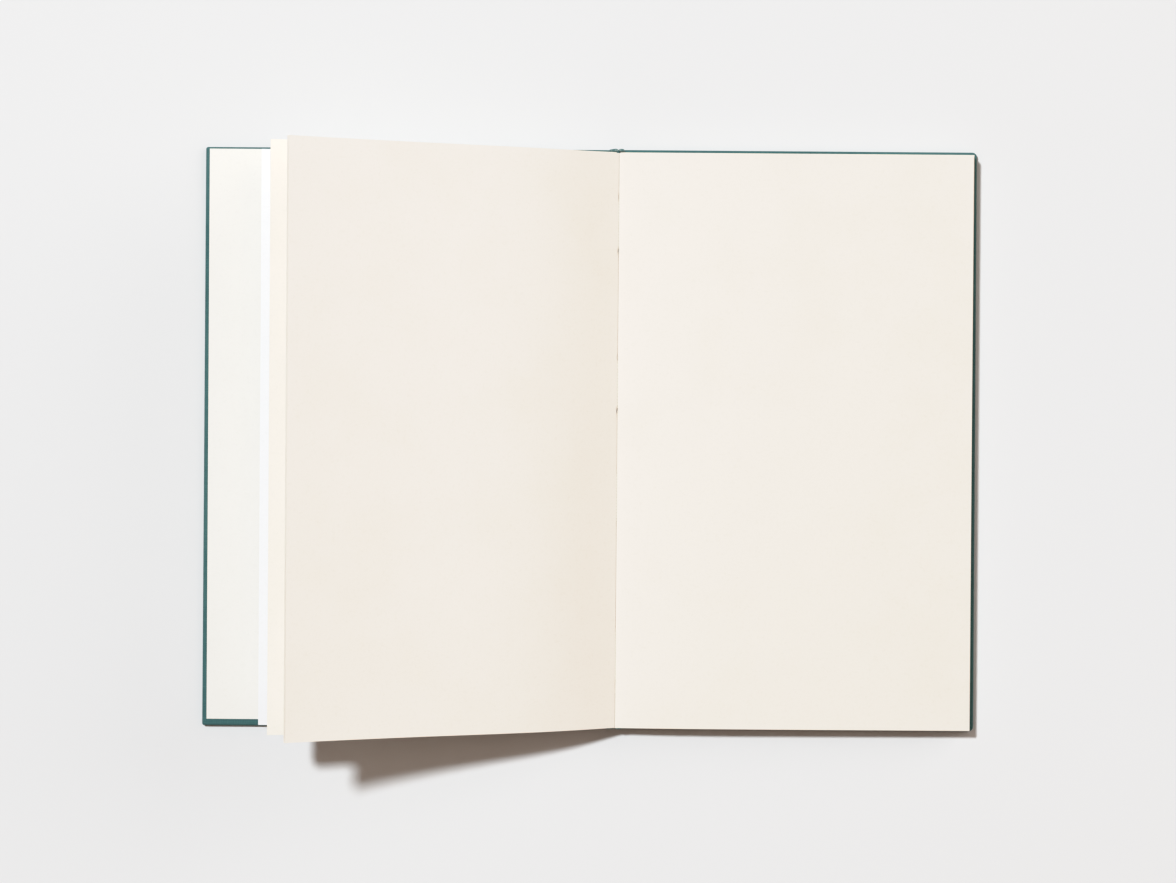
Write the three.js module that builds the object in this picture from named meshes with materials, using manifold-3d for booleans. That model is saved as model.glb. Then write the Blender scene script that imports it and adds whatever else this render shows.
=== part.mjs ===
// Cloth-covered hardcover sketchbook, lying open on its back.
// Millimetres, +Z up. X runs across the open spread, from the front cover's fore edge (-X)
// to the back cover's fore edge (+X). Y runs from the tail (-Y) to the head (+Y).
// Origin: bottom centre of the open book, on the outer face of the case.
//
// The text block is sewn in eight folded signatures and glued to the back-cover side only, so
// the spine panel and the front cover swing free. It is open at the middle of signature 4:
// half of that signature and signatures 1 to 3 lie to the left, the rest lies to the right.
// The fore halves of signatures 1 to 3 droop; each is in two solids that meet where it bends.
import * as THREE from 'three';
import { mergeVertices } from 'three/addons/utils/BufferGeometryUtils.js';
import Module from 'manifold-3d';

// ---- driving dimensions -------------------------------------------------------------------
const CASE_HALF_W = 139.8;        // half of the open case, fore edge to fore edge
const CASE_H = 210;               // cover height, head to tail
const CLOTH_T = 0.35;             // book cloth
const BOARD_T = 2.0;              // cover boards
const GAP = 0.05;                 // air between glued layers
const SPINE_CARD_T = 0.8;         // spine stiffener
const TURN_IN = 15;               // cloth folded over the boards
const BOARD_EDGE_X = 11.7;        // boards start here, each side of the spine
const SPINE_CARD_HALF = 6.0;      // half width of the spine stiffener
const FOLD_X = 8.5;               // case folds run at x = +-FOLD_X
const CORNER_R = 1.4;             // cover corner radius
const LINER_T = 0.15;             // pastedowns and spine lining

const PAGE_W = 127.6;
const PAGE_H = 207.2;
const PAGE_T = 0.15;              // one leaf
const GUTTER_X = 10.2;            // line that every leaf turns about
const GUTTER_Z = 10.0;
const FOLD_GAP = 0.3;             // leaf folds stop this far from the gutter line
const SIG_T = 1.45;               // one closed signature of eight leaves
const SIG_PITCH = 1.5;
const SIG_SLIT = 0.24;            // the middle of a closed signature, where its thread lies
const HALF_SIG_T = 0.7;           // half of the opened signature, right side
const LEFT_HALF_SIG_T = 0.55;     // the same, left side, without its outermost leaf

// slope of each leaf group above the left cover, in degrees
const SLOPE_4_LEFT = 27.8;
const SLOPE_4_OUTER = SLOPE_4_LEFT;   // lies against the leaves it belongs to
const SLOPE_3 = 25.1;             // near the gutter; the fore half droops by DROOP
const SLOPE_2 = 24.6;
const SLOPE_1 = 24.1;
const DROOP = 13.6;
const DROOP_R = 64.1;             // distance from the gutter line to where the droop is centred
const STRIP_W = 5;                // glued strip of the front flyleaf
const SLOPE_FLYLEAF = 3.4;

const THREAD_R = 0.13;
const STITCHES = [88.6, 69.1, 30.8, 11.7];   // hole positions from the middle of the fold
const BAND_W = 2.3;               // headband bead, along X
const BAND_T = 1.1;               // headband bead, along Y

// ---- derived levels -----------------------------------------------------------------------
const Z_BOARD = CLOTH_T + GAP;                       // 0.40
const Z_TURN = Z_BOARD + BOARD_T + GAP;              // 2.45
const TURN_T = 0.3;
const Z_LINER = Z_TURN + TURN_T + GAP;               // 2.80
const Z_BLOCK = Z_LINER + LINER_T + 0.1;             // 3.05

// ---- colours ------------------------------------------------------------------------------
const paint = (hex, roughness = 0.9) =>
  new THREE.MeshStandardMaterial({ color: new THREE.Color(hex), roughness, metalness: 0 });
const TEAL = '#4f7776';
const PAGE = '#f2ede5';
const WHITE = '#f7f9fb';
const LINER = '#f3f2ed';
const CARD = '#a59b88';
const MULL = '#e6e0d0';
const THREAD = '#e9e6dc';

// ---- helpers ------------------------------------------------------------------------------
const wasm = await Module();
wasm.setup();

function solid(geometry) {
  const g = geometry.clone();
  g.deleteAttribute('normal');
  g.deleteAttribute('uv');
  const m = mergeVertices(g, 1e-4);
  return new wasm.Manifold(new wasm.Mesh({
    numProp: 3,
    vertProperties: new Float32Array(m.attributes.position.array),
    triVerts: new Uint32Array(m.index.array),
  }));
}

function geometryOf(manifold) {
  const mesh = manifold.getMesh();
  const g = new THREE.BufferGeometry();
  g.setAttribute('position', new THREE.BufferAttribute(new Float32Array(mesh.vertProperties), 3));
  g.setIndex(new THREE.BufferAttribute(new Uint32Array(mesh.triVerts), 1));
  g.computeVertexNormals();
  return g;
}

// axis-aligned block between two corners
function block(x0, x1, y0, y1, z0, z1) {
  const g = new THREE.BoxGeometry(x1 - x0, y1 - y0, z1 - z0);
  g.translate((x0 + x1) / 2, (y0 + y1) / 2, (z0 + z1) / 2);
  return g;
}

// plate with chosen rounded corners; the corners at the side named by sign are rounded
function plate(x0, x1, y0, y1, z0, z1, r, sign) {
  const s = new THREE.Shape();
  const rl = sign < 0 ? r : 0;
  const rr = sign > 0 ? r : 0;
  s.moveTo(x0 + rl, y0);
  s.lineTo(x1 - rr, y0);
  if (rr) s.absarc(x1 - rr, y0 + rr, rr, -Math.PI / 2, 0, false);
  s.lineTo(x1, y1 - rr);
  if (rr) s.absarc(x1 - rr, y1 - rr, rr, 0, Math.PI / 2, false);
  s.lineTo(x0 + rl, y1);
  if (rl) s.absarc(x0 + rl, y1 - rl, rl, Math.PI / 2, Math.PI, false);
  s.lineTo(x0, y0 + rl);
  if (rl) s.absarc(x0 + rl, y0 + rl, rl, Math.PI, 1.5 * Math.PI, false);
  const g = new THREE.ExtrudeGeometry(s, { depth: z1 - z0, bevelEnabled: false, curveSegments: 4 });
  g.translate(0, 0, z0);
  return g;
}

// profile in the XZ plane, drawn anticlockwise as [x, z], run along Y from y0 to y1
function profile(points, y0, y1) {
  const s = new THREE.Shape(points.map(([x, z]) => new THREE.Vector2(x, z)));
  const g = new THREE.ExtrudeGeometry(s, { depth: y1 - y0, bevelEnabled: false });
  g.rotateX(Math.PI / 2);
  g.translate(0, y1, 0);
  return g;
}

const sketchbook = new THREE.Group();

function add(name, geometry, material, parent = sketchbook) {
  const mesh = new THREE.Mesh(geometry, material);
  mesh.name = name;
  parent.add(mesh);
  return mesh;
}

// ---- case: boards, cloth, linings -----------------------------------------------------------
// One cover's cloth: outer face, three turned edges, and turn-ins on the inner face. The spine
// side stays open where the cloth runs on into the joint. side is -1 for front, +1 for back.
function coverCloth(side, flapTo) {
  const edge = CASE_HALF_W;
  const x = (a, b) => (side < 0 ? [-b, -a] : [a, b]);
  const h = CASE_H / 2;
  const inside = BOARD_EDGE_X - 0.05;
  const zTop = Z_TURN + TURN_T;
  let cloth = solid(plate(...x(inside, edge), -h, h, 0, zTop, CORNER_R, side));
  const pocket = x(inside - 1, edge - CLOTH_T - GAP);
  cloth = cloth.subtract(solid(block(...pocket, -h + CLOTH_T + GAP, h - CLOTH_T - GAP, CLOTH_T, Z_TURN)));
  const window_ = x(inside - 1, edge - TURN_IN);
  cloth = cloth.subtract(solid(block(...window_, -h + TURN_IN, h - TURN_IN, Z_TURN - 0.2, zTop + 1)));
  if (flapTo !== null) {
    cloth = cloth.add(solid(block(...x(flapTo, inside + 1), -h, h, 0, CLOTH_T)));
  }
  return geometryOf(cloth);
}

const boardHalf = CASE_H / 2 - CLOTH_T - 2 * GAP;
const boardFar = CASE_HALF_W - CLOTH_T - 2 * GAP;

add('back_cover_cloth', coverCloth(1, FOLD_X + 0.35), paint(TEAL, 0.85));
add('back_board', plate(BOARD_EDGE_X, boardFar, -boardHalf, boardHalf, Z_BOARD, Z_BOARD + BOARD_T, 1.1, 1), paint(CARD));
add('back_pastedown', block(BOARD_EDGE_X + 0.5, 138.0, -103.6, 103.6, Z_LINER, Z_LINER + LINER_T), paint(LINER));

add('front_cover_cloth', coverCloth(-1, null), paint(TEAL, 0.85));
add('front_board', plate(-boardFar, -BOARD_EDGE_X, -boardHalf, boardHalf, Z_BOARD, Z_BOARD + BOARD_T, 1.1, -1), paint(CARD));
add('front_pastedown', block(-138.1, -BOARD_EDGE_X - 0.5, -102.5, 104.3, Z_LINER, Z_LINER + LINER_T), paint(LINER));

add('front_joint_cloth', block(-11.3, -FOLD_X - 0.25, -CASE_H / 2, CASE_H / 2, 0, CLOTH_T), paint(TEAL, 0.85));

// spine panel: cloth turned over the stiffener at head and tail, and a paper lining
{
  const h = CASE_H / 2;
  const w = FOLD_X - 0.25;
  const zIn = Z_BOARD + SPINE_CARD_T + GAP;
  const turned = zIn + TURN_T;
  let cloth = solid(block(-w, w, -h, h, 0, CLOTH_T));
  for (const s of [-1, 1]) {
    const ys = (a, b) => (s < 0 ? [-b, -a] : [a, b]);
    cloth = cloth.add(solid(block(-w + 1.5, w - 1.5, ...ys(h - CLOTH_T, h), 0, turned)));
    cloth = cloth.add(solid(block(-w + 1.5, w - 1.5, ...ys(h - 12, h), zIn, turned)));
  }
  add('spine_cloth', geometryOf(cloth), paint(TEAL, 0.85));
  add('spine_stiffener', block(-SPINE_CARD_HALF, SPINE_CARD_HALF, -h + CLOTH_T + 2 * GAP, h - CLOTH_T - 2 * GAP, Z_BOARD, Z_BOARD + SPINE_CARD_T), paint(CARD));
  add('spine_lining', block(-7.4, 7.4, -92.5, 92.5, zIn, zIn + LINER_T), paint(LINER));
}

// open-weave mull: up the back of the glued half of the block, and out under the back pastedown
add('spine_mull', profile([
  [GUTTER_X - 0.1, 2.45], [28, 2.45], [28, 2.75], [GUTTER_X + 0.1, 2.75],
  [GUTTER_X + 0.1, GUTTER_Z - 0.6], [GUTTER_X - 0.1, GUTTER_Z - 0.6],
], -88, 88), paint(MULL));

// ---- text block -----------------------------------------------------------------------------
// A holder turns the leaves about the gutter line. Inside it, a leaf lies as in the shut book:
// x runs from the fold to the fore edge, z is the height above the gutter line.
function leafHolder(slope) {
  const g = new THREE.Group();
  g.position.set(GUTTER_X, 0, GUTTER_Z);
  if (slope !== null) g.rotation.y = -THREE.MathUtils.degToRad(180 - slope);
  sketchbook.add(g);
  return g;
}

const half = PAGE_H / 2;

function leaf(name, z0, z1, slope, color) {
  const holder = leafHolder(slope);
  add(name, block(FOLD_GAP, FOLD_GAP + PAGE_W, -half, half, z0, z1), paint(color), holder);
}

// Folded signature: round fold, and a slit down its middle open at the fore edge. One that
// droops is in two halves, which meet on the line DROOP_R from the gutter; the fore half is
// turned down about the lower edge of that line.
function signature(number, z0, slope, droop = 0) {
  const holder = leafHolder(slope);
  const z1 = z0 + SIG_T;
  const m = (z0 + z1) / 2;
  const far = droop ? DROOP_R : FOLD_GAP + PAGE_W;
  if (droop) {
    const fore = new THREE.Group();
    fore.position.set(DROOP_R + GAP / 2, 0, z1);
    fore.rotation.y = -THREE.MathUtils.degToRad(droop);
    holder.add(fore);
    const x0 = GAP / 2;
    const x1 = FOLD_GAP + PAGE_W - DROOP_R - GAP / 2;
    const w = SIG_SLIT / 2;
    const c = m - z1;
    const halfPts = [[x0, z0 - z1], [x1, z0 - z1], [x1, c - w], [x0 + 3, c - w], [x0 + 3, c + w], [x1, c + w], [x1, 0], [x0, 0]];
    add(`signature_${number}_fore_half`, profile(halfPts, -half, half), paint(PAGE), fore);
  }
  const pts = [[far, z0], [far, m - SIG_SLIT / 2], [FOLD_GAP + 0.55, m - SIG_SLIT / 2],
    [FOLD_GAP + 0.55, m + SIG_SLIT / 2], [far, m + SIG_SLIT / 2], [far, z1], [FOLD_GAP + 0.45, z1],
    [FOLD_GAP + 0.14, z1 - 0.2], [FOLD_GAP, m + 0.2], [FOLD_GAP, m - 0.2], [FOLD_GAP + 0.14, z0 + 0.2],
    [FOLD_GAP + 0.45, z0]];
  add(`signature_${number}`, profile(pts, -half, half), paint(PAGE), holder);
  const thread = new THREE.CylinderGeometry(0.07, 0.07, 2 * STITCHES[0], 8);
  thread.scale(1.4, 1, 1);
  thread.translate(FOLD_GAP + 0.72, 0, m);
  add(`sewing_thread_${number}`, thread, paint(THREAD), holder);
  return holder;
}

// right side, from the back cover up to the open page
leaf('back_flyleaf', Z_BLOCK - GUTTER_Z, Z_BLOCK - GUTTER_Z + PAGE_T, null, WHITE);
const zRight = Z_BLOCK + PAGE_T + GAP - GUTTER_Z;            // -6.75
signature(8, zRight, null);
signature(7, zRight + SIG_PITCH, null);
signature(6, zRight + 2 * SIG_PITCH, null);
signature(5, zRight + 3 * SIG_PITCH, null);
leaf('signature_4_right', zRight + 4 * SIG_PITCH, zRight + 4 * SIG_PITCH + HALF_SIG_T, null, PAGE);

// left side, from the open page down to the front cover
leaf('signature_4_left', 0.05, 0.05 + LEFT_HALF_SIG_T, SLOPE_4_LEFT, PAGE);
leaf('signature_4_outer_leaf', 0.65, 0.65 + PAGE_T, SLOPE_4_OUTER, PAGE);
signature(3, 0.85, SLOPE_3, DROOP);
const holder2 = signature(2, 0.85 + SIG_PITCH, SLOPE_2, DROOP);
signature(1, 0.85 + 2 * SIG_PITCH, SLOPE_1, DROOP);

// front flyleaf: a strip along its inner edge is glued to signature 1, the rest hangs from it
{
  const z0 = 5.42;
  const holder = leafHolder(SLOPE_FLYLEAF);
  add('front_flyleaf_strip', block(FOLD_GAP, STRIP_W, -half, half, z0, z0 + PAGE_T), paint(WHITE), holder);
  add('front_flyleaf', block(STRIP_W + 0.1, FOLD_GAP + PAGE_W, -half, half, z0, z0 + PAGE_T), paint(WHITE), holder);
}

// thread of the opened signature: in and out along the fold
{
  const zIn = 0.05;
  const zOut = -0.32;
  const ys = [...STITCHES, ...STITCHES.map((v) => -v).reverse()];
  const pts = [];
  let inside = false;
  const step = 0.45;
  pts.push([ys[0] + 3.0, zOut]);
  for (const y of ys) {
    pts.push([y + step, inside ? zIn : zOut]);
    inside = !inside;
    pts.push([y - step, inside ? zIn : zOut]);
  }
  pts.push([ys[ys.length - 1] - 3.0, zOut]);
  const path = new THREE.CurvePath();
  for (let i = 0; i + 1 < pts.length; i += 1) {
    path.add(new THREE.LineCurve3(new THREE.Vector3(0, pts[i][0], pts[i][1]), new THREE.Vector3(0, pts[i + 1][0], pts[i + 1][1])));
  }
  // six-sided tube with a flat section at every bend
  const n = 6;
  const pos = [];
  const idx = [];
  pts.forEach(([y, z]) => {
    for (let k = 0; k < n; k += 1) {
      const a = (k / n) * 2 * Math.PI;
      pos.push(GUTTER_X + THREAD_R * Math.cos(a), y, GUTTER_Z + z + THREAD_R * Math.sin(a));
    }
  });
  for (let i = 0; i + 1 < pts.length; i += 1) {
    for (let k = 0; k < n; k += 1) {
      const a = i * n + k;
      const b = i * n + ((k + 1) % n);
      idx.push(a, b, b + n, a, b + n, a + n);
    }
  }
  const last = (pts.length - 1) * n;
  for (let k = 1; k + 1 < n; k += 1) {
    idx.push(0, k + 1, k);
    idx.push(last, last + k, last + k + 1);
  }
  const g = new THREE.BufferGeometry();
  g.setAttribute('position', new THREE.BufferAttribute(new Float32Array(pos), 3));
  g.setIndex(idx);
  g.computeVertexNormals();
  add('sewing_thread_4', g, paint(THREAD));
}

// headbands: the rolled bead past the head and tail of the block's spine. The band bends where
// the block opens, so each is in a rear part (glued half) and a front part (moving half).
for (const [end, s] of [['head', 1], ['tail', -1]]) {
  const y = (a, b) => (s < 0 ? [-b, -a] : [a, b]);
  const bead = (z0, z1) => {
    const r = 0.4;
    const x0 = FOLD_GAP;
    const x1 = FOLD_GAP + BAND_W;
    return profile([[x0 + r, z0], [x1 - r, z0], [x1, z0 + r], [x1, z1 - r], [x1 - r, z1], [x0 + r, z1], [x0, z1 - r], [x0, z0 + r]],
      ...y(half + 0.15, half + 0.15 + BAND_T));
  };
  add(`${end}band_rear`, bead(-6.8, -0.3), paint(TEAL, 0.8), leafHolder(null));
  add(`${end}band_front`, bead(0.7, 5.2), paint(TEAL, 0.8), holder2);
}

export default sketchbook;
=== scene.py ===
import math
import random

import bmesh
import bpy
import numpy as np
from mathutils import Matrix, Vector

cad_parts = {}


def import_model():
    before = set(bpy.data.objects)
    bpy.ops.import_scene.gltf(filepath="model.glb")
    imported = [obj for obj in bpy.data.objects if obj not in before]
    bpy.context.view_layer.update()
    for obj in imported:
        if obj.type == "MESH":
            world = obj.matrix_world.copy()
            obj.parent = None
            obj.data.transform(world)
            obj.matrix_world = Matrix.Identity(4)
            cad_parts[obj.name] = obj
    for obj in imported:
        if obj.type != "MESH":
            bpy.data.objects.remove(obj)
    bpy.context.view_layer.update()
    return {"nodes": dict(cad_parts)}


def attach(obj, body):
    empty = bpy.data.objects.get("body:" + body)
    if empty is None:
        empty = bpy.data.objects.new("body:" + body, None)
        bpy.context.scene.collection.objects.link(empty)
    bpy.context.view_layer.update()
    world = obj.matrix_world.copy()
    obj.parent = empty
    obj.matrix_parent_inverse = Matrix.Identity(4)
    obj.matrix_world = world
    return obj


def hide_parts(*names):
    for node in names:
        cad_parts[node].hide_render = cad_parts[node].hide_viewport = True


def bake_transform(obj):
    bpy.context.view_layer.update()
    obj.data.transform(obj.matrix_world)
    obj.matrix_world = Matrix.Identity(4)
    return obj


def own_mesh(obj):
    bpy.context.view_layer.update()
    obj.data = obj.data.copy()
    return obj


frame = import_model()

MM = 0.001
GX, GZ = 10.2, 10.0            # gutter line, mm
PAGE_HALF = 103.6
LEAF_END = 127.9
rng = random.Random(7)


# ---------------------------------------------------------------- mesh helpers
def build(name, verts, faces, mats, smooth_under=34.0, face_mats=None):
    """Mesh object from millimetre vertices. Edges sharper than smooth_under stay crisp."""
    bm = bmesh.new()
    vs = [bm.verts.new((v[0] * MM, v[1] * MM, v[2] * MM)) for v in verts]
    bm.verts.ensure_lookup_table()
    for i, f in enumerate(faces):
        try:
            face = bm.faces.new([vs[k] for k in f])
        except ValueError:
            continue
        if face_mats is not None:
            face.material_index = face_mats[i]
    bmesh.ops.remove_doubles(bm, verts=bm.verts, dist=1e-7)
    bmesh.ops.dissolve_degenerate(bm, edges=bm.edges, dist=1e-7)
    loose = [v for v in bm.verts if not v.link_faces]
    if loose:
        bmesh.ops.delete(bm, geom=loose, context="VERTS")
    bmesh.ops.recalc_face_normals(bm, faces=bm.faces)
    lim = math.radians(smooth_under)
    for f in bm.faces:
        f.smooth = True
    for e in bm.edges:
        e.smooth = len(e.link_faces) == 2 and e.calc_face_angle(0.0) < lim
    me = bpy.data.meshes.new(name)
    bm.to_mesh(me)
    bm.free()
    ob = bpy.data.objects.new(name, me)
    bpy.context.scene.collection.objects.link(ob)
    for m in mats if isinstance(mats, (list, tuple)) else [mats]:
        me.materials.append(m)
    return ob


class Strips:
    """Gathers closed strips (leaves and folded sheets) into one mesh."""

    def __init__(self):
        self.v, self.f = [], []

    def strip(self, a, b, ys, place):
        """a, b: the two skins as lists of (r, h), same length; ys: list of y; place(r, y, h) -> xyz."""
        n = len(a)
        base = len(self.v)
        for y in ys:
            for r, h in a:
                self.v.append(place(r, y, h))
            for r, h in b:
                self.v.append(place(r, y, h))
        w = 2 * n
        for j in range(len(ys) - 1):
            o, p = base + j * w, base + (j + 1) * w
            for i in range(n - 1):
                self.f.append((o + i, o + i + 1, p + i + 1, p + i))
                self.f.append((o + n + i + 1, o + n + i, p + n + i, p + n + i + 1))
            self.f.append((o, p, p + n, o + n))
            self.f.append((o + n - 1, o + 2 * n - 1, p + 2 * n - 1, p + n - 1))
        for o in (base, base + (len(ys) - 1) * w):
            for i in range(n - 1):
                self.f.append((o + i, o + n + i, o + n + i + 1, o + i + 1))


def y_stations(n, trim_lo=0.0, trim_hi=0.0):
    """Page edge to page edge, with a soft 0.1 mm step in from each cut edge."""
    lo, hi = -PAGE_HALF + trim_lo, PAGE_HALF - trim_hi
    inner = [lo + (hi - lo) * k / n for k in range(1, n)]
    return [lo, lo + 0.6] + inner + [hi - 0.6, hi]


def spaced(a, b, n, power=1.0):
    return [a + (b - a) * (k / (n - 1)) ** power for k in range(n)]


def smooth01(t):
    t = min(1.0, max(0.0, t))
    return t * t * (3 - 2 * t)


# ---------------------------------------------------------------- material helpers
class M:
    """Small builder for node materials."""

    def __init__(self, name):
        self.mat = bpy.data.materials.new(name)
        self.mat.use_nodes = True
        self.t = self.mat.node_tree
        self.t.nodes.clear()
        self.out = self.n("ShaderNodeOutputMaterial")
        self.b = self.n("ShaderNodeBsdfPrincipled")
        self.l(self.b.outputs[0], self.out.inputs[0])
        tc = self.n("ShaderNodeTexCoord")
        self.co = tc.outputs["Object"]

    def n(self, kind, **props):
        node = self.t.nodes.new(kind)
        for k, v in props.items():
            setattr(node, k, v)
        return node

    def l(self, a, b):
        self.t.links.new(a, b)

    def mapped(self, scale, rot=(0, 0, 0), loc=(0, 0, 0)):
        m = self.n("ShaderNodeMapping")
        m.inputs["Scale"].default_value = scale
        m.inputs["Rotation"].default_value = rot
        m.inputs["Location"].default_value = loc
        self.l(self.co, m.inputs["Vector"])
        return m.outputs[0]

    def noise(self, scale, detail=3.0, rough=0.55, vec=None, distort=0.0):
        t = self.n("ShaderNodeTexNoise")
        t.inputs["Scale"].default_value = scale
        t.inputs["Detail"].default_value = detail
        t.inputs["Roughness"].default_value = rough
        t.inputs["Distortion"].default_value = distort
        self.l(vec if vec is not None else self.co, t.inputs["Vector"])
        return t.outputs["Fac"]

    def math(self, op, a, b=None, clamp=False):
        m = self.n("ShaderNodeMath", operation=op, use_clamp=clamp)
        for i, v in enumerate((a, b)):
            if v is None:
                continue
            if isinstance(v, (int, float)):
                m.inputs[i].default_value = v
            else:
                self.l(v, m.inputs[i])
        return m.outputs[0]

    def ramp(self, fac, stops):
        r = self.n("ShaderNodeValToRGB")
        els = r.color_ramp.elements
        while len(els) > 1:
            els.remove(els[-1])
        els[0].position, els[0].color = stops[0][0], (*stops[0][1], 1)
        for p, c in stops[1:]:
            e = els.new(p)
            e.color = (*c, 1)
        self.l(fac, r.inputs[0])
        return r.outputs[0]

    def mix(self, fac, a, b, mode="MIX"):
        m = self.n("ShaderNodeMix", data_type="RGBA", blend_type=mode)
        for sock, v in ((m.inputs[0], fac), (m.inputs[6], a), (m.inputs[7], b)):
            if isinstance(v, (int, float)):
                sock.default_value = v
            elif isinstance(v, tuple):
                sock.default_value = (*v, 1) if len(v) == 3 else v
            else:
                self.l(v, sock)
        return m.outputs[2]

    def remap(self, v, a, b, c, d):
        m = self.n("ShaderNodeMapRange")
        for i, x in zip((1, 2, 3, 4), (a, b, c, d)):
            m.inputs[i].default_value = x
        self.l(v, m.inputs[0])
        return m.outputs[0]

    def bump(self, height, strength, distance, normal=None):
        b = self.n("ShaderNodeBump")
        b.inputs["Strength"].default_value = strength
        b.inputs["Distance"].default_value = distance
        self.l(height, b.inputs["Height"])
        if normal is not None:
            self.l(normal, b.inputs["Normal"])
        return b.outputs[0]

    def xyz(self, vec=None):
        s = self.n("ShaderNodeSeparateXYZ")
        self.l(vec if vec is not None else self.co, s.inputs[0])
        return s.outputs


def times(c, k):
    return tuple(min(1.0, x * k) for x in c)


def paper(name, base, shade, tooth=0.35, fibre=0.5, rough=0.88):
    """Uncoated paper: faint clouding of the sheet, sparse fibres, and a fine tooth."""
    m = M(name)
    cloud = m.noise(34.0, 4.0, 0.6)
    fine = m.noise(900.0, 3.0, 0.6)
    fib_a = m.noise(1.0, 2.0, 0.5, vec=m.mapped((2300.0, 260.0, 2300.0), rot=(0, 0, 0.5)), distort=0.6)
    fib_b = m.noise(1.0, 2.0, 0.5, vec=m.mapped((260.0, 2300.0, 2300.0), rot=(0, 0, 0.25)), distort=0.6)
    c = m.ramp(cloud, [(0.30, times(shade, 0.995)), (0.52, base), (0.72, times(base, 1.008))])
    speck = m.ramp(fine, [(0.30, (0.975, 0.973, 0.968)), (0.46, (1, 1, 1)), (1.0, (1, 1, 1))])
    c = m.mix(1.0, c, speck, "MULTIPLY")
    fa = m.remap(fib_a, 0.66, 0.78, 0.0, fibre)
    fb = m.remap(fib_b, 0.67, 0.79, 0.0, fibre)
    f = m.math("MAXIMUM", fa, fb)
    c = m.mix(f, c, times(shade, 0.955))
    m.l(c, m.b.inputs["Base Color"])
    m.l(m.remap(fine, 0.2, 0.8, rough - 0.05, rough + 0.06), m.b.inputs["Roughness"])
    m.b.inputs["Specular IOR Level"].default_value = 0.25
    tooth_h = m.math("ADD", m.math("MULTIPLY", m.noise(1500.0, 2.0, 0.6), 0.7), m.math("MULTIPLY", fine, 0.5))
    n1 = m.bump(tooth_h, tooth, 0.00003)
    m.l(n1, m.b.inputs["Normal"])
    return m.mat


def book_cloth(name, dark, mid, light, thread=0.62):
    """Plain-weave book cloth: over-under threads, slubs along both directions, painted shade in the gaps between the
    threads and the thread tops a touch lighter.
    """
    m = M(name)
    wob = m.noise(220.0, 2.0, 0.5)
    x, y, z = m.xyz()
    k = math.pi / (thread * MM)
    # each side wall shows the same weave, because z adds to both directions
    u = m.math("ADD", m.math("MULTIPLY", m.math("ADD", x, m.math("MULTIPLY", z, 0.83)), k), m.math("MULTIPLY", wob, 1.8))
    v = m.math("ADD", m.math("MULTIPLY", m.math("ADD", y, m.math("MULTIPLY", z, 0.79)), k), m.math("MULTIPLY", wob, -1.6))
    su, sv = m.math("SINE", u), m.math("SINE", v)
    warp, weft = m.math("ABSOLUTE", su), m.math("ABSOLUTE", sv)
    over = m.math("GREATER_THAN", m.math("MULTIPLY", m.math("SINE", m.math("MULTIPLY", u, 1.0)), m.math("SINE", m.math("MULTIPLY", v, 1.0))), 0.0)
    # over = 1 where a warp thread lies on top; both fall away towards the gaps
    h_over = m.math("MULTIPLY", m.math("POWER", warp, 0.6), m.math("ADD", 0.55, m.math("MULTIPLY", weft, 0.45)))
    h_under = m.math("MULTIPLY", m.math("POWER", weft, 0.6), m.math("ADD", 0.55, m.math("MULTIPLY", warp, 0.45)))
    weave = m.n("ShaderNodeMix", data_type="FLOAT")
    m.l(over, weave.inputs[0])
    m.l(h_under, weave.inputs[2])
    m.l(h_over, weave.inputs[3])
    weave = weave.outputs[0]
    slub_x = m.noise(1.0, 2.0, 0.5, vec=m.mapped((55.0, 1500.0, 1500.0)))
    slub_y = m.noise(1.0, 2.0, 0.5, vec=m.mapped((1500.0, 55.0, 1500.0)))
    slub = m.math("MAXIMUM", slub_x, slub_y)
    cloud = m.noise(16.0, 4.0, 0.6)
    c = m.ramp(m.math("ADD", m.math("MULTIPLY", cloud, 0.5), m.math("MULTIPLY", slub, 0.5)), [(0.36, dark), (0.5, mid), (0.66, light)])
    # painted shade: the colour darkens in the gaps of the weave and lightens a touch on the thread tops
    weave_painted_shade = m.ramp(weave, [(0.0, (0.62, 0.62, 0.62)), (0.45, (0.93, 0.93, 0.93)), (1.0, (1.06, 1.06, 1.06))])
    c = m.mix(1.0, c, weave_painted_shade, "MULTIPLY")
    m.l(c, m.b.inputs["Base Color"])
    m.l(m.remap(slub, 0.3, 0.8, 0.78, 0.92), m.b.inputs["Roughness"])
    m.b.inputs["Specular IOR Level"].default_value = 0.3
    m.b.inputs["Sheen Weight"].default_value = 0.08
    m.b.inputs["Sheen Roughness"].default_value = 0.5
    h = m.math("ADD", m.math("MULTIPLY", weave, 0.8), m.math("MULTIPLY", slub, 0.6))
    m.l(m.bump(h, 0.55, 0.00010), m.b.inputs["Normal"])
    return m.mat


def card(name, base):
    m = M(name)
    n1 = m.noise(420.0, 5.0, 0.65)
    n2 = m.noise(60.0, 3.0, 0.5)
    c = m.ramp(m.math("ADD", m.math("MULTIPLY", n1, 0.6), m.math("MULTIPLY", n2, 0.4)), [(0.35, times(base, 0.8)), (0.5, base), (0.68, times(base, 1.15))])
    m.l(c, m.b.inputs["Base Color"])
    m.l(m.remap(n1, 0.2, 0.8, 0.85, 0.98), m.b.inputs["Roughness"])
    m.l(m.bump(n1, 0.5, 0.00012), m.b.inputs["Normal"])
    return m.mat


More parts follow.
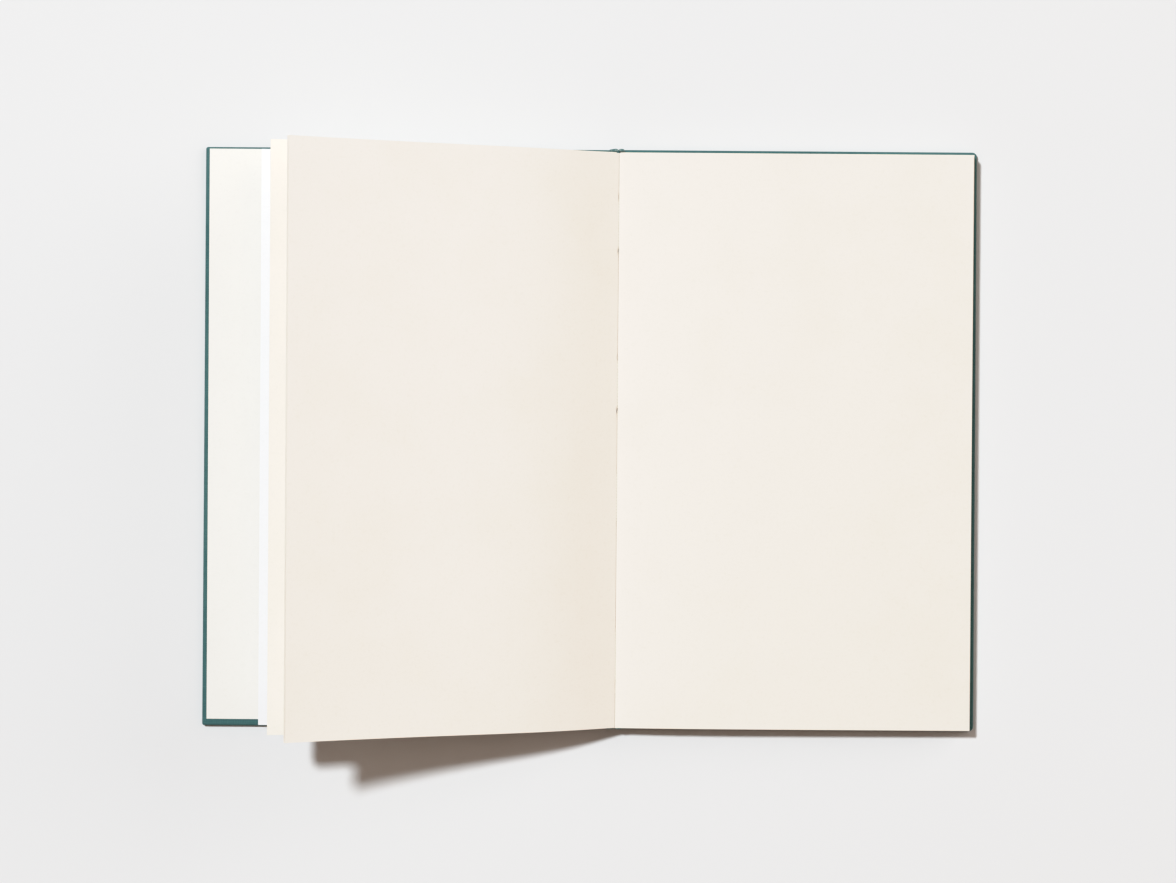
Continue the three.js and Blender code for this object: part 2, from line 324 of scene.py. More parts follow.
def gauze(name, base):
    m = M(name)
    x, y, z = m.xyz()
    k = math.pi / (1.1 * MM)
    a = m.math("ABSOLUTE", m.math("SINE", m.math("MULTIPLY", m.math("ADD", x, z), k)))
    b = m.math("ABSOLUTE", m.math("SINE", m.math("MULTIPLY", y, k)))
    h = m.math("MAXIMUM", m.math("POWER", a, 3.0), m.math("POWER", b, 3.0))
    # painted shade: darker in the open gaps between the gauze threads
    c = m.ramp(h, [(0.1, times(base, 0.55)), (0.45, times(base, 0.85)), (1.0, base)])
    m.l(c, m.b.inputs["Base Color"])
    m.l(m.remap(h, 0.0, 1.0, 0.95, 0.82), m.b.inputs["Roughness"])
    m.l(m.bump(h, 0.8, 0.0002), m.b.inputs["Normal"])
    return m.mat


def thread_mat(name, base):
    m = M(name)
    x, y, z = m.xyz()
    tw = m.math("SINE", m.math("ADD", m.math("MULTIPLY", y, 2 * math.pi / 0.0011), m.math("MULTIPLY", m.math("ADD", x, z), 7000.0)))
    fuzz = m.noise(3200.0, 2.0, 0.6)
    h = m.math("ADD", m.math("MULTIPLY", tw, 0.5), m.math("MULTIPLY", fuzz, 0.4))
    # partly painted shade in the grooves of the twist, partly random fuzz tone
    c = m.ramp(h, [(0.0, times(base, 0.78)), (0.35, times(base, 0.94)), (0.9, base)])
    m.l(c, m.b.inputs["Base Color"])
    m.l(m.remap(fuzz, 0.2, 0.8, 0.6, 0.85), m.b.inputs["Roughness"])
    m.l(m.bump(h, 0.6, 0.00005), m.b.inputs["Normal"])
    return m.mat


def band_mat(name, base, light):
    """Embroidered headband: wrapped threads across the bead."""
    m = M(name)
    x, y, z = m.xyz()
    w = m.math("SINE", m.math("MULTIPLY", z, 2 * math.pi / 0.00062))
    w2 = m.math("SINE", m.math("MULTIPLY", m.math("ADD", z, m.math("MULTIPLY", x, 0.4)), 2 * math.pi / 0.0026))
    c = m.mix(m.remap(w2, 0.55, 0.75, 0.0, 0.55), base, light)
    # painted shade: darker in the grooves between the wrapped threads; the light stripes are the two-tone silk
    c = m.mix(m.remap(w, -1.0, -0.2, 0.55, 0.0), c, times(base, 0.45))
    m.l(c, m.b.inputs["Base Color"])
    m.l(m.remap(w, -1.0, 1.0, 0.8, 0.55), m.b.inputs["Roughness"])
    m.l(m.bump(m.math("ADD", m.math("MULTIPLY", w, 0.5), 0.5), 0.6, 0.00012), m.b.inputs["Normal"])
    return m.mat


# ---------------------------------------------------------------- materials
TEAL_D, TEAL_M, TEAL_L = (0.040, 0.118, 0.118), (0.055, 0.150, 0.150), (0.080, 0.186, 0.184)
cloth_m = book_cloth("teal_book_cloth", TEAL_D, TEAL_M, TEAL_L)
# the left page and signatures 1 to 3 are the same paper as the right page, painted lighter: painted light standing
# in for the brightness these sloping leaves catch
left_page_painted_light_m = paper("drawing_paper_painted_light", (0.872, 0.806, 0.732), (0.864, 0.796, 0.718))
fan_page_painted_light_m = paper("drawing_paper_painted_brighter", (0.940, 0.874, 0.768), (0.931, 0.863, 0.753))
page_m = paper("drawing_paper", (0.840, 0.776, 0.696), (0.830, 0.764, 0.681))
fly_m = paper("flyleaf_paper", (0.920, 0.925, 0.945), (0.913, 0.918, 0.940), tooth=0.2, fibre=0.25)
liner_m = paper("liner_paper", (0.890, 0.862, 0.796), (0.880, 0.851, 0.783), tooth=0.25, fibre=0.35)
card_m = card("grey_board", (0.38, 0.33, 0.25))
gauze_m = gauze("mull_gauze", (0.78, 0.74, 0.62))
thr_m = thread_mat("linen_thread", (0.80, 0.77, 0.68))
band_m = band_mat("headband_silk", (0.10, 0.22, 0.22), (0.42, 0.52, 0.48))

nodes = frame["nodes"]


def repaint(names, mat):
    for nm in names:
        o = nodes[nm]
        o.data.materials.clear()
        o.data.materials.append(mat)


repaint(["back_board", "front_board", "spine_stiffener"], card_m)
repaint(["spine_mull"], gauze_m)
repaint(["sewing_thread_%d" % k for k in (1, 2, 3, 5, 6, 7, 8)], thr_m)


# ---------------------------------------------------------------- cloth of the case
TI = 15.0                       # turn-in width
HALF_H = 105.0
EDGE = 139.8
CR = 1.4
T = 0.35


def skin_profile(height, edge=15.0):
    """Outer and inner skin across a turned edge: (d, z) from the raw edge of the turn-in, out round the
    edge, and back under to d = 0."""
    hgt = height
    r = min(0.95, hgt * 0.5 - 0.01)
    ri = max(r - T, 0.04)
    outer, inner = [(0.0, hgt), (5.0, hgt), (10.0, hgt)], [(0.0, hgt - 0.3), (5.0, hgt - 0.3), (10.0, hgt - 0.3)]
    steps = 6
    for k in range(steps + 1):
        a = math.pi / 2 * k / steps
        outer.append((edge - r + r * math.sin(a), hgt - r + r * math.cos(a)))
        inner.append((edge - T - ri + ri * math.sin(a), hgt - 0.3 - ri + ri * math.cos(a)))
    for k in range(steps + 1):
        a = math.pi / 2 * k / steps
        outer.append((edge - r + r * math.cos(a), r - r * math.sin(a)))
        inner.append((edge - T - ri + ri * math.cos(a), T + ri - ri * math.sin(a)))
    outer += [(10.0, 0.0), (5.0, 0.0), (0.0, 0.0)]
    inner += [(10.0, T), (5.0, T), (0.0, T)]
    return outer, inner


def groove(x):
    """How far the cloth is pressed up into the channel beside the spine, mm."""
    a = abs(x)
    return 0.42 * math.exp(-((a - 9.9) / 1.05) ** 4)


def rise(x):
    """Height of the case over the cloth's outer face at x: board, channel, spine card."""
    a = abs(x)
    if a >= 12.35:
        return 2.75
    if a >= 11.25:
        return 0.72 + (2.75 - 0.72) * smooth01((a - 11.25) / 1.1)
    if a <= 6.0:
        return 1.55
    if a <= 7.3:
        return 1.55 - 0.83 * smooth01((a - 6.0) / 1.3)
    return 0.72


def cloth_piece(name, xs, fore):
    """xs: stations from one end to the other; with fore = -1 or +1 the last station is where the
    fore-edge turn-in begins, and the cloth goes on round the fore edge."""
    stations = []               # (base xy, outer xy, height)
    for x in xs:
        stations.append(((x, HALF_H - TI), (x, HALF_H), rise(x), x))
    if fore:
        bx = xs[-1]
        cr = 1.7 if fore > 0 else 0.8
        cx, cy = fore * (EDGE - cr), HALF_H - cr
        for ox in spaced(bx, cx, 7)[1:-1]:
            stations.append(((bx, HALF_H - TI), (ox, HALF_H), 2.75, ox))
        for k in range(9):
            a = math.pi / 2 * k / 8
            stations.append(((bx, HALF_H - TI), (cx + fore * cr * math.sin(a), cy + cr * math.cos(a)), 2.75, cx))
        for oy in spaced(cy, HALF_H - TI, 6)[1:-1]:
            stations.append(((bx, HALF_H - TI), (fore * EDGE, oy), 2.75, cx))
        yy = spaced(HALF_H - TI, -(HALF_H - TI), 13)
        for y in yy:
            stations.append(((bx, y), (fore * EDGE, y), 2.75, cx))
        tail = [((b[0], -b[1]), (o[0], -o[1]), h, g) for b, o, h, g in reversed(stations[: -len(yy)])]
        stations = stations + tail
        groups = [stations]
    else:
        yy = spaced(HALF_H - TI, -(HALF_H - TI), 13)
        groups = [stations, [((b[0], -b[1]), (o[0], -o[1]), h, g) for b, o, h, g in stations]]
    verts, faces = [], []

    def ring(group, caps):
        start = len(verts)
        count = None
        for (bx_, by_), (ox_, oy_), h, g in group:
            outer, inner = skin_profile(h)
            count = len(outer)
            for d, z in outer + inner:
                t = d / TI
                px, py = bx_ + (ox_ - bx_) * t, by_ + (oy_ - by_) * t
                verts.append((px, py, z + groove(px)))
        w = 2 * count
        for s in range(len(group) - 1):
            o, p = start + s * w, start + (s + 1) * w
            for i in range(count - 1):
                faces.append((o + i, o + i + 1, p + i + 1, p + i))
                faces.append((o + count + i, o + count + i + 1, p + count + i + 1, p + count + i))
            faces.append((o, p, p + count, o + count))
        for s in caps:
            o = start + s * w
            for i in range(count - 1):
                faces.append((o + i, o + i + 1, o + count + i + 1, o + count + i))

    if fore < 0:
        groups[0] = [(b, (o[0] + (0.12 + 0.12 * o[1] / HALF_H if o[0] < -EDGE + 9 else 0.0), o[1]), h, g) for b, o, h, g in groups[0]]
    if fore > 0:
        # the cloth's fore edge runs wider towards the tail, by up to 0.62 mm: a fitted offset, the solid's edge is
        # straight
        groups[0] = [(b, (o[0] + (0.30 - 0.32 * o[1] / HALF_H if o[0] > EDGE - 9 else 0.0), o[1]), h, g) for b, o, h, g in groups[0]]
    if fore:
        ring(groups[0], (0, len(groups[0]) - 1))
    else:
        for g in groups:
            ring(g, (0, len(g) - 1))
    # the flat middle, as two skins, meeting the rings vertex to vertex
    start = len(verts)
    for x in xs:
        for y in yy:
            verts.append((x, y, 0.0 + groove(x)))
    second = len(verts)
    for x in xs:
        for y in yy:
            verts.append((x, y, T + groove(x)))
    ny = len(yy)
    for i in range(len(xs) - 1):
        for j in range(ny - 1):
            a = start + i * ny + j
            faces.append((a, a + 1, a + ny + 1, a + ny))
            b = second + i * ny + j
            faces.append((b, b + 1, b + ny + 1, b + ny))
    ends = [0] if fore else [0, len(xs) - 1]
    for i in ends:
        for j in range(ny - 1):
            a, b = start + i * ny + j, second + i * ny + j
            faces.append((a, a + 1, b + 1, b))
    ob = build(name, verts, faces, cloth_m)
    return ob


far = [13.2, 14.5, 18.0, 28.0, 45.0, 65.0, 85.0, 105.0, EDGE - TI]
near = [11.0, 11.25, 11.42, 11.6, 11.8, 12.0, 12.2, 12.35, 12.7]
front_cloth = cloth_piece("front_cover_cloth_skin", [-v for v in [10.0, 10.3, 10.6, 10.8] + near + far], -1)
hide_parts("front_cover_cloth")
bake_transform(front_cloth)

joint_xs = [-10.0, -9.7, -9.4, -9.1, -8.8, -8.5, -8.2, -7.9, -7.6, -7.3, -7.0, -6.6, -6.3, -6.0, -4.0, -2.0, 0.0]
joint_cloth = cloth_piece("spine_cloth_front_part", joint_xs, 0)
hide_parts("front_joint_cloth", "spine_cloth")
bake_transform(joint_cloth)

back_xs = [0.0, 2.0, 4.0, 6.0, 6.3, 6.6, 7.0, 7.3, 7.6, 7.9, 8.2, 8.5, 8.8, 9.1, 9.4, 9.7, 10.0, 10.3, 10.6, 10.8] + near + far
back_cloth = cloth_piece("back_cover_cloth_skin", back_xs, 1)
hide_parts("back_cover_cloth")
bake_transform(back_cloth)


# ---------------------------------------------------------------- pastedowns and spine lining
def sheet_grid(name, xs, ys, z_of, thick, mat):
    verts, faces = [], []
    nx, ny = len(xs), len(ys)
    for lay in (0, 1):
        for x in xs:
            for y in ys:
                verts.append((x, y, z_of(x, y) + lay * thick))
    o = nx * ny
    for i in range(nx - 1):
        for j in range(ny - 1):
            a = i * ny + j
            faces.append((a, a + ny, a + ny + 1, a + 1))
            faces.append((o + a, o + a + 1, o + a + ny + 1, o + a + ny))
    for i in range(nx - 1):
        for j in (0, ny - 1):
            a = i * ny + j
            faces.append((a, a + ny, o + a + ny, o + a))
    for j in range(ny - 1):
        for i in (0, nx - 1):
            a = i * ny + j
            faces.append((a, a + 1, o + a + 1, o + a))
    ob = build(name, verts, faces, mat)
    return ob


def edge_stations(a, b, steps_at, n):
    """Even stations from a to b with close ones round each value in steps_at."""
    vals = set(round(v, 4) for v in spaced(a, b, n))
    for s in steps_at:
        for d in (-2.0, -1.5, -1.0, -0.5, 0.0, 0.5, 1.0, 1.5, 2.0):
            if min(a, b) < s + d < max(a, b):
                vals.add(round(s + d, 4))
    for d in (0.15, 0.6):
        vals.add(round(min(a, b) + d, 4))
        vals.add(round(max(a, b) - d, 4))
    return sorted(vals)


def pastedown(name, x0, x1, y0, y1, spine_side, node, body):
    """Paper glued over the board: it stands on the turned cloth round three edges, and sinks to the
    board inside it, so the turn-ins show as a faint step."""
    ix = (EDGE - TI) * (1 if spine_side < 0 else -1)

    def z_of(x, y):
        inside_x = smooth01((abs(ix) - abs(x)) / 4.0 + 0.5)
        inside_y = smooth01(((HALF_H - TI) - abs(y)) / 4.0 + 0.5)
        sink = 0.16 * inside_x * inside_y
        return 2.80 - sink

    xs = edge_stations(x0, x1, [ix], 16)
    ys = edge_stations(y0, y1, [HALF_H - TI, -(HALF_H - TI)], 20)
    ob = sheet_grid(name, xs, ys, z_of, 0.15, liner_m)
    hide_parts(node)
    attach(ob, body)
    return ob


pastedown("front_pastedown_sheet", -138.1, -12.2, -102.5, 104.3, 1, "front_pastedown", "front_cover")
pastedown("back_pastedown_sheet", 12.2, 138.0, -103.6, 103.6, -1, "back_pastedown", "back_cover")

lining = sheet_grid(
    "spine_lining_strip",
    edge_stations(-7.4, 7.4, [-6.0, 6.0], 9),
    spaced(-92.5, 92.5, 15),
    lambda x, y: 1.26 - 0.10 * smooth01((abs(x) - 5.8) / 1.2) + (0.02 if int(abs(y)) % 2 else 0.0),
    0.14,
    liner_m,
)
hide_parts("spine_lining")
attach(lining, "spine_panel")


# ---------------------------------------------------------------- leaves
HOLES = [87.6, 68.1, 29.8, 10.7, -10.7, -29.8, -68.1, -87.6]
HOLE_DEPTH = [0.20, 0.42, 0.18, 0.50, 0.10, 0.08, 0.10, 0.08]


def fold_dip(r, y, depth):
    """The sheets of the open signature sink a little into the fold, and more at each needle hole, where
    they are pressed together: the upper leaf sinks most, and the lowest not at all."""
    pit = max(math.exp(-(((y - hy) / 1.15) ** 2)) * dep for hy, dep in zip(HOLES, HOLE_DEPTH))
    return (0.03 + pit) * (1 - (depth - 0.05) / 0.78) * math.exp(-((r / 0.21) ** 2))


def fold_stations(n, lo=0.0, hi=0.0):
    """Page stations with close ones at the needle holes."""
    vals = set(round(v, 3) for v in y_stations(n, lo, hi))
    for hy in HOLES:
        for d in (-2.2, -1.5, -1.0, -0.5, 0.0, 0.5, 1.0, 1.5, 2.2):
            vals.add(round(hy + d, 3))
    return sorted(vals)


def closed_signature(st, z0, thick, n_fold, rs, ys_n, place, slack=0.12, back=0.0):
    """Four folded sheets, one inside the other, between heights z0 and z0 + thick."""
    half = thick / 2
    zm = z0 + half
    pitch = (half - 0.12) / 4
    t = pitch - 0.016
    rc = 0.3 + half
    block = rng.uniform(0, 0.10) + back
    lo_t, hi_t = rng.uniform(0, 0.05), rng.uniform(0, 0.05)
    for k in range(4):
        ro = half - k * pitch
        ri = ro - t
        end_lo = LEAF_END - block - rng.uniform(0, slack)
        end_hi = LEAF_END - block - rng.uniform(0, slack)
        a, b = [], []
        for r in reversed(rs):
            rr = min(r, end_lo) if r < LEAF_END - 1e-6 else end_lo
            a.append((rr, zm - ro))
            b.append((rr, zm - ri))
        for i in range(1, n_fold):
            ang = -math.pi / 2 - math.pi * i / n_fold
            a.append((rc + ro * math.cos(ang), zm + ro * math.sin(ang)))
            b.append((rc + ri * math.cos(ang), zm + ri * math.sin(ang)))
        for r in rs:
            rr = min(r, end_hi) if r < LEAF_END - 1e-6 else end_hi
            a.append((rr, zm + ro))
            b.append((rr, zm + ri))
        ys = y_stations(ys_n, lo_t + rng.uniform(0, 0.06), hi_t + rng.uniform(0, 0.06))
        st.strip(a, b, ys, place)


def on_right(r, y, h):
    return (GX + r, y, GZ + h)


def left_place(slope, skew=0.0):
    al = math.radians(slope)
    ca, sa = math.cos(al), math.sin(al)

    def place(r, y, d):
        return (GX - r * ca - d * sa, y + skew * r, GZ + r * sa - d * ca)

    return place


def leaf_piece(name, st, mat):
    ob = build(name, st.v, st.f, mat, smooth_under=30)
    return ob


RS_FLAT = [1.03, 1.6, 3.0, 12.0, 40.0, 75.0, 110.0, 126.9, LEAF_END]

# signatures 5 to 8, below the open page
for k in (8, 7, 6, 5):
    z0 = -6.75 + (8 - k) * 1.5
    st = Strips()
    closed_signature(st, z0, 1.45, 10, RS_FLAT, 8, on_right)
    ob = leaf_piece("signature_%d_sheets" % k, st, page_m)
    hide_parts("signature_%d" % k)
    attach(ob, "signature_%d" % k)

# back flyleaf
st = Strips()
rs = [0.3, 1.0, 5.0, 40.0, 80.0, 120.0, 127.0, LEAF_END - 0.05]
st.strip([(r, -6.95) for r in rs], [(r, -6.80) for r in rs], y_stations(8), on_right)
ob = leaf_piece("back_flyleaf_sheet", st, fly_m)
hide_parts("back_flyleaf")
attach(ob, "back_flyleaf")

# open page on the right: four leaves out of the fold, the top one rising in a long low arch
HUMP = 1.40


def hump(r):
    r0 = 36.0
    return HUMP * (r / r0) * math.exp(1 - r / r0) + 0.06 * (1 - math.exp(-r / 0.75))


RS_TOP = [0.02, 0.12, 0.25, 0.4, 0.6, 0.85, 1.2, 1.7, 2.4, 3.4, 5.0, 7.0, 9.5, 12.5, 16.0] + spaced(20.0, 126.0, 36) + [127.2, LEAF_END]
def right_leaves(name, which, keep=None):
    st = Strips()
    for i in which:
        top = -0.05 - i * 0.175
        end = LEAF_END - rng.uniform(0, 0.12) - 0.02 * i
        rs = [r if r < LEAF_END else end for r in RS_TOP]
        phase = rng.uniform(0, 6.28)

        def place(r, y, h, i=i, phase=phase):
            rise_h = hump(r) + 0.05 * math.sin(y / 31.0 + phase) * smooth01(r / 90.0) if i == 0 else 0.0
            return (GX + r - 0.0018 * (y + PAGE_HALF) * r / LEAF_END, y - 0.33, GZ + h + rise_h - fold_dip(r, y, -h))

        st.strip([(r, top) for r in rs], [(r, top - 0.15) for r in rs], fold_stations(20, rng.uniform(0, 0.06), rng.uniform(0, 0.06)), place)
    ob = leaf_piece(name, st, page_m)
    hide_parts("signature_4_right")
    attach(ob, "signature_4_right")
    if keep:
        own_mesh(ob)


right_leaves("signature_4_right_open_leaf", [0], keep=0.05)
right_leaves("signature_4_right_leaves", [1, 2, 3])

# open page on the left: three leaves, then the outer leaf of the same signature
SL4 = 27.8
BULGE_R = [0.0, 6.0, 16.0, 30.0, 50.0, 78.0, 100.0, 115.0, 128.5]
BULGE_B = [0.0, 0.66, 1.82, 2.70, 2.20, 0.50, -0.02, 0.10, 0.66]
SKEW = 0.0038


def spline(xs, ys):
    """Natural cubic through the points."""
    n = len(xs)
    h = [xs[i + 1] - xs[i] for i in range(n - 1)]
    a = np.zeros((n, n))
    b = np.zeros(n)
    a[0, 0] = a[-1, -1] = 1
    for i in range(1, n - 1):
        a[i, i - 1], a[i, i], a[i, i + 1] = h[i - 1], 2 * (h[i - 1] + h[i]), h[i]
        b[i] = 6 * ((ys[i + 1] - ys[i]) / h[i] - (ys[i] - ys[i - 1]) / h[i - 1])
    m2 = np.linalg.solve(a, b)

    def f(x):
        i = min(max(int(np.searchsorted(xs, x) - 1), 0), n - 2)
        u, w = xs[i + 1] - x, x - xs[i]
        return float(
            m2[i] * u ** 3 / (6 * h[i]) + m2[i + 1] * w ** 3 / (6 * h[i])
            + (ys[i] / h[i] - m2[i] * h[i] / 6) * u + (ys[i + 1] / h[i] - m2[i + 1] * h[i] / 6) * w
        )

    return f


bulge = spline(BULGE_R, BULGE_B)
place4_flat = left_place(SL4, 0.00375)


def place4(r, y, d):
    return place4_flat(r, y - 0.33, d)



def on4(depth):
    x, _, z = left_place(SL4)(0.0, 0.0, depth)
    return (x * MM, 0.0, z * MM)


def left_leaves(name, which, node, keep=None):
    st = Strips()
    for i in which:
        d0 = 0.65 if i == 3 else 0.05 + i * 0.185
        end = LEAF_END - rng.uniform(0, 0.10)
        rs = [r if r < LEAF_END else end for r in RS_TOP]

        def place(r, y, d, i=i):
            lift = bulge(r) - 0.05 * math.sin(y / 27.0 + 1.0) * smooth01(r / 100.0) if i == 0 else 0.0
            return place4(r, y, d - lift + fold_dip(r, y, d))

        st.strip([(r, d0) for r in rs], [(r, d0 + 0.15) for r in rs], fold_stations(20, rng.uniform(0, 0.06), rng.uniform(0, 0.06)), place)
    # painted light: the left leaves take the lighter copy of the drawing paper
    ob = leaf_piece(name, st, left_page_painted_light_m)
    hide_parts(node)
    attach(ob, node)
    if keep:
        on4(0.13)
        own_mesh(ob)


left_leaves("signature_4_left_open_leaf", [0], "signature_4_left", keep=0.05)
left_leaves("signature_4_left_leaves", [1, 2], "signature_4_left")
left_leaves("signature_4_outer_leaf_sheet", [3], "signature_4_outer_leaf")

# signatures 3, 2, 1: folded sheets that droop in one long bend
DROOP, DROOP_R = math.radians(13.6), 64.125


def drooping(slope, hinge_d, r_start=46.0, r_end=84.0, skew=SKEW):
    flat = left_place(slope)

    def turned(r, d, w):
        c, s = math.cos(w * DROOP), math.sin(w * DROOP)
        u, v = r - DROOP_R, d - hinge_d
        return DROOP_R + u * c - v * s, hinge_d + u * s + v * c

    def world(r, d, w):
        rr, dd = turned(r, d, w)
        x, _, z = flat(rr, 0.0, dd)
        return np.array([x, z])

    start, end = world(r_start, hinge_d, 0.0), world(r_end, hinge_d, 1.0)
    run = end - start
    cache = {}

    def place(r, y, d):
        key = (round(r, 5), round(d, 5))
        if key not in cache:
            w = smooth01((r - r_start) / (r_end - r_start))
            for _ in range(40):
                p = world(r, d, w)
                w = 0.5 * w + 0.5 * smooth01(float((p - start) @ run) / float(run @ run))
            cache[key] = (world(r, d, w))
        p = cache[key]
        return (p[0], y + skew * r, p[1])

    return place, (start[0] * MM, 0, start[1] * MM), (end[0] * MM, 0, end[1] * MM)


RS_BEND = [1.03, 1.6, 3.0, 8.0] + spaced(14.0, 124.0, 34) + [127.0, LEAF_END]
for k, z0, slope in ((3, 0.85, 25.1), (2, 2.35, 24.6), (1, 3.85, 24.1)):
    place, p_start, p_end = drooping(slope, z0 + 1.45)
    st = Strips()
    closed_signature(st, z0, 1.45, 10, RS_BEND, 10, place, back={3: 0.0, 2: 1.0, 1: 2.1}[k])
    # painted light: these drooping sheets take the lightest copy of the drawing paper
    ob = leaf_piece("signature_%d_sheets" % k, st, fan_page_painted_light_m)
    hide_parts("signature_%d" % k, "signature_%d_fore_half" % k)
    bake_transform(ob)
    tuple(p_start)
    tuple(p_end)

# front flyleaf: the glued strip and the hanging leaf
placef = left_place(3.4)
st = Strips()
rs = [0.3, 0.8, 1.6, 3.0, 4.2, 5.0]
st.strip([(r, 5.42) for r in rs], [(r, 5.57) for r in rs], y_stations(12), placef)
ob = leaf_piece("front_flyleaf_hinge_strip", st, fly_m)
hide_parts("front_flyleaf_strip")
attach(ob, "front_flyleaf_strip")


def fly(r, y, d):
    lift = 0.05 * math.sin(math.pi * min(1.0, max(0.0, (r - 5.1) / 122.8))) ** 2
    return placef(r, y, d - lift + 0.02 * math.sin(y / 24.0) * smooth01(r / 100.0))


st = Strips()
rs = [5.03, 5.6, 7.0, 10.0] + spaced(15.0, 124.0, 22) + [127.4, LEAF_END + 0.5]
st.strip([(r, 5.42) for r in rs], [(r, 5.57) for r in rs], y_stations(16), fly)
ob = leaf_piece("front_flyleaf_sheet", st, fly_m)
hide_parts("front_flyleaf")
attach(ob, "front_flyleaf")


# ---------------------------------------------------------------- thread in the open fold
def tube(path, radius, sides=10):
    verts, faces = [], []
    n = len(path)
    for i, p in enumerate(path):
        a = path[max(0, i - 1)]
        b = path[min(n - 1, i + 1)]
        t = Vector((b[0] - a[0], b[1] - a[1], b[2] - a[2])).normalized()
        side = Vector((1, 0, 0))
        up = t.cross(side).normalized()
        rad = radius(i) if callable(radius) else radius
        for k in range(sides):
            an = 2 * math.pi * k / sides
            q = Vector(p) + side * (rad * math.cos(an)) + up * (rad * math.sin(an))
            verts.append(tuple(q))
    for i in range(n - 1):
        for k in range(sides):
            a, b = i * sides + k, i * sides + (k + 1) % sides
            faces.append((a, b, b + sides, a + sides))
    faces.append(tuple(range(sides))[::-1])
    faces.append(tuple((n - 1) * sides + k for k in range(sides)))
    return verts, faces


holes = HOLES
path = []
z_out, z_in = GZ - 0.62, GZ - 0.04
y = 91.4
path.append((GX, y, z_out))
inside = False
for hy in holes:
    for t in (0.0, 0.25, 0.5, 0.75, 1.0):
        f = smooth01(t)
        a, b = (z_in, z_out) if inside else (z_out, z_in)
        path.append((GX, hy + 0.42 - 0.84 * t, a + (b - a) * f))
    inside = not inside
    nxt = holes[holes.index(hy) + 1] if hy != holes[-1] else -91.4
    if inside:
        for t in (0.1, 0.3, 0.5, 0.7, 0.9):
            yy_ = (hy - 0.42) + ((nxt + 0.42) - (hy - 0.42)) * t
            path.append((GX + rng.uniform(-0.02, 0.02), yy_, z_in + 0.03 * math.sin(math.pi * t)))
path.append((GX, -91.4, z_out))
v, f = tube(path, 0.10)
thr = build("sewing_thread_4_run", v, f, thr_m, 60)
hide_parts("sewing_thread_4")
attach(thr, "back_cover")


# ---------------------------------------------------------------- headbands
def bead(name, z0, z1, sign, place, node, body):
    """Wrapped bead with a rounded section and soft rings, and a flat foot against the block."""
    verts, faces = [], []
    nz, nc = 44, 16
    r_mid, r_half = (0.82, 1.00) if sign > 0 else (1.28, 1.26)
    out = 0.57 if sign > 0 else 0.20
    for i in range(nz + 1):
        t = i / nz
        z = z0 + (z1 - z0) * t
        end = min(1.0, 4.5 * min(t, 1 - t) + 0.55)
        ring = 1.0 + 0.035 * math.sin(2 * math.pi * z / 0.62)
        for k in range(nc):
            a = 2 * math.pi * k / nc
            rx, ry = r_half * end * ring, out * end * ring
            px = r_mid + rx * math.copysign(abs(math.cos(a)) ** 0.85, math.cos(a))
            py = PAGE_HALF + (0.12 if sign > 0 else 0.42) + out + ry * math.copysign(abs(math.sin(a)) ** 0.85, math.sin(a))
            verts.append(place(px, sign * py, z))
    for i in range(nz):
        for k in range(nc):
            a, b = i * nc + k, i * nc + (k + 1) % nc
            faces.append((a, b, b + nc, a + nc))
    faces.append(tuple(range(nc)))
    faces.append(tuple(nz * nc + k for k in range(nc))[::-1])
    ob = build(name, verts, faces, band_m, 50)
    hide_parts(node)
    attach(ob, body)


for end, s in (("head", 1), ("tail", -1)):
    bead(end + "band_rear_bead", -6.8, -0.3, s, on_right, end + "band_rear", "back_cover")
    bead(end + "band_front_bead", 0.7, 5.2, s, left_place(24.6), end + "band_front", "signature_2")


# ---------------------------------------------------------------- floor, light, camera
def floor_material():
    m = M("pale_floor")
    n = m.noise(3.0, 3.0, 0.5)
    c = m.ramp(n, [(0.3, (0.798, 0.797, 0.797)), (0.7, (0.806, 0.805, 0.805))])
    x, y, z = m.xyz()
    even = m.math("ADD", m.math("MULTIPLY", x, 0.085), m.math("MULTIPLY", y, -0.096))
    even = m.ramp(m.remap(even, -0.15, 0.15, 0.0, 1.0), [(0.0, (0.824, 0.824, 0.824)), (1.0, (1.124, 1.124, 1.124))])
    c = m.mix(1.0, c, even, "MULTIPLY")
    m.l(c, m.b.inputs["Base Color"])
    m.b.inputs["Roughness"].default_value = 0.95
    m.b.inputs["Specular IOR Level"].default_value = 0.1
    return m.mat


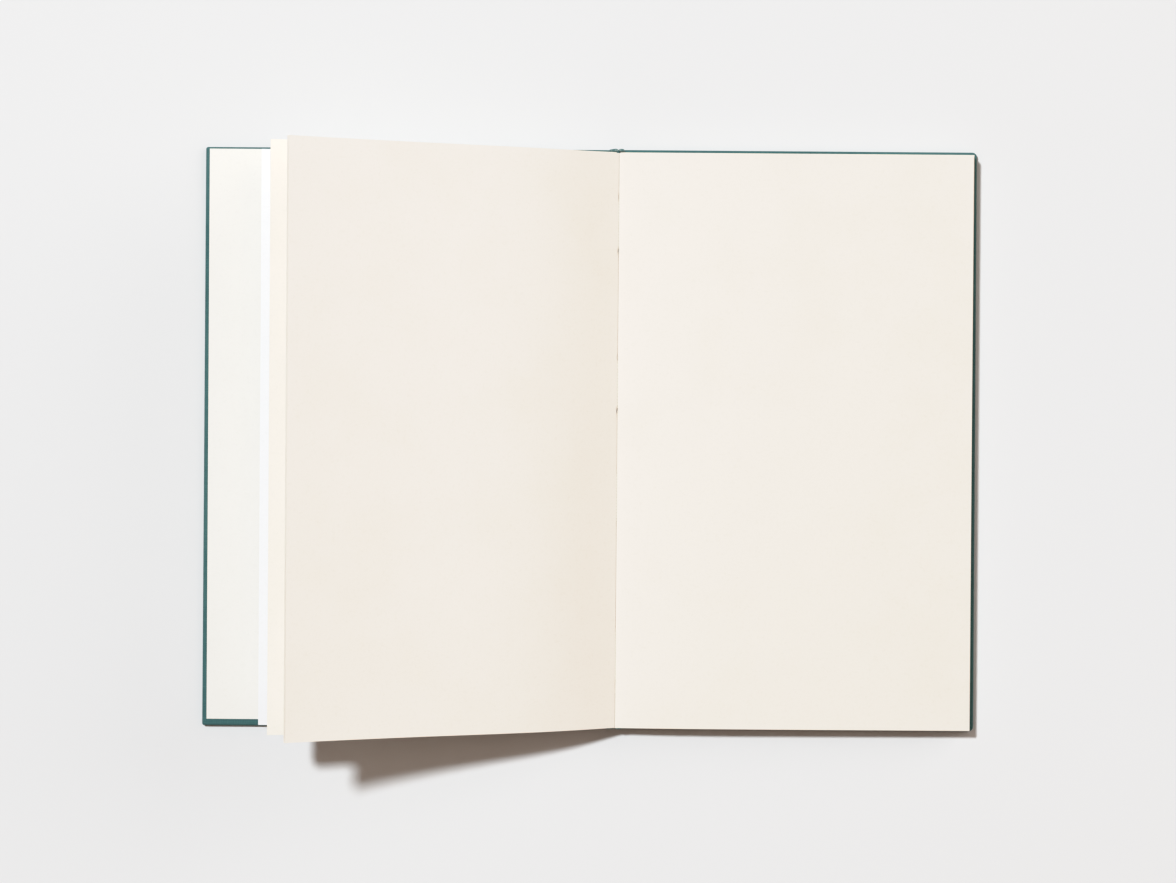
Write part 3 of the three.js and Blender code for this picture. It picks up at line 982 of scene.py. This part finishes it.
me = bpy.data.meshes.new("floor")
me.from_pydata([(-9, -9, -0.00006), (9, -9, -0.00006), (9, 9, -0.00006), (-9, 9, -0.00006)], [], [(0, 1, 2, 3)])
me.materials.append(floor_material())
floor = bpy.data.objects.new("floor", me)
bpy.context.scene.collection.objects.link(floor)

scene = bpy.context.scene
world = bpy.data.worlds.new("soft_room")
scene.world = world
world.use_nodes = True
bg = world.node_tree.nodes["Background"]
bg.inputs["Color"].default_value = (0.208, 0.147, 0.113, 1)
bg.inputs["Strength"].default_value = 1.0


def area(name, loc, target, size, watts, color, shape="DISK"):
    d = bpy.data.lights.new(name, "AREA")
    d.shape = shape
    d.size = size
    d.energy = watts
    d.color = color
    o = bpy.data.objects.new(name, d)
    o.location = loc
    o.rotation_euler = (Vector(target) - Vector(loc)).to_track_quat("-Z", "Y").to_euler()
    bpy.context.scene.collection.objects.link(o)
    return o


area("key", (-0.694, 0.675, 2.266), (0.0, 0.0, 0.0), 0.22, 54.2, (0.890, 0.957, 1.0))
area("fill", (1.9, 1.0, 1.25), (0.0, 0.0, 0.0), 1.8, 18.5, (1.0, 0.97, 0.93), "SQUARE")

cam_data = bpy.data.cameras.new("camera")
cam_data.sensor_width = 36.0
cam_data.lens = 92.50
cam_data.clip_start, cam_data.clip_end = 0.05, 20.0
cam = bpy.data.objects.new("camera", cam_data)
bpy.context.scene.collection.objects.link(cam)
R = Matrix.Rotation(math.radians(-0.86), 4, "X") @ Matrix.Rotation(math.radians(0.17), 4, "Y") @ Matrix.Rotation(math.radians(0.45), 4, "Z")
cam.matrix_world = Matrix.Translation((2.94 * MM, 15.71 * MM, 1098.48 * MM)) @ R
scene.camera = cam

scene.view_settings.view_transform = "Standard"
scene.view_settings.look = "None"
scene.view_settings.exposure = 0.0
scene.view_settings.gamma = 1.0
scene.view_settings.use_curve_mapping = True
tone = scene.view_settings.curve_mapping
for px, py in ((0.15, 0.145), (0.50, 0.52), (0.75, 0.797), (0.85, 0.863), (0.92, 0.90)):
    tone.curves[3].points.new(px, py)
tone.curves[3].points[-1].location = (1.0, 0.945)
tone.update()
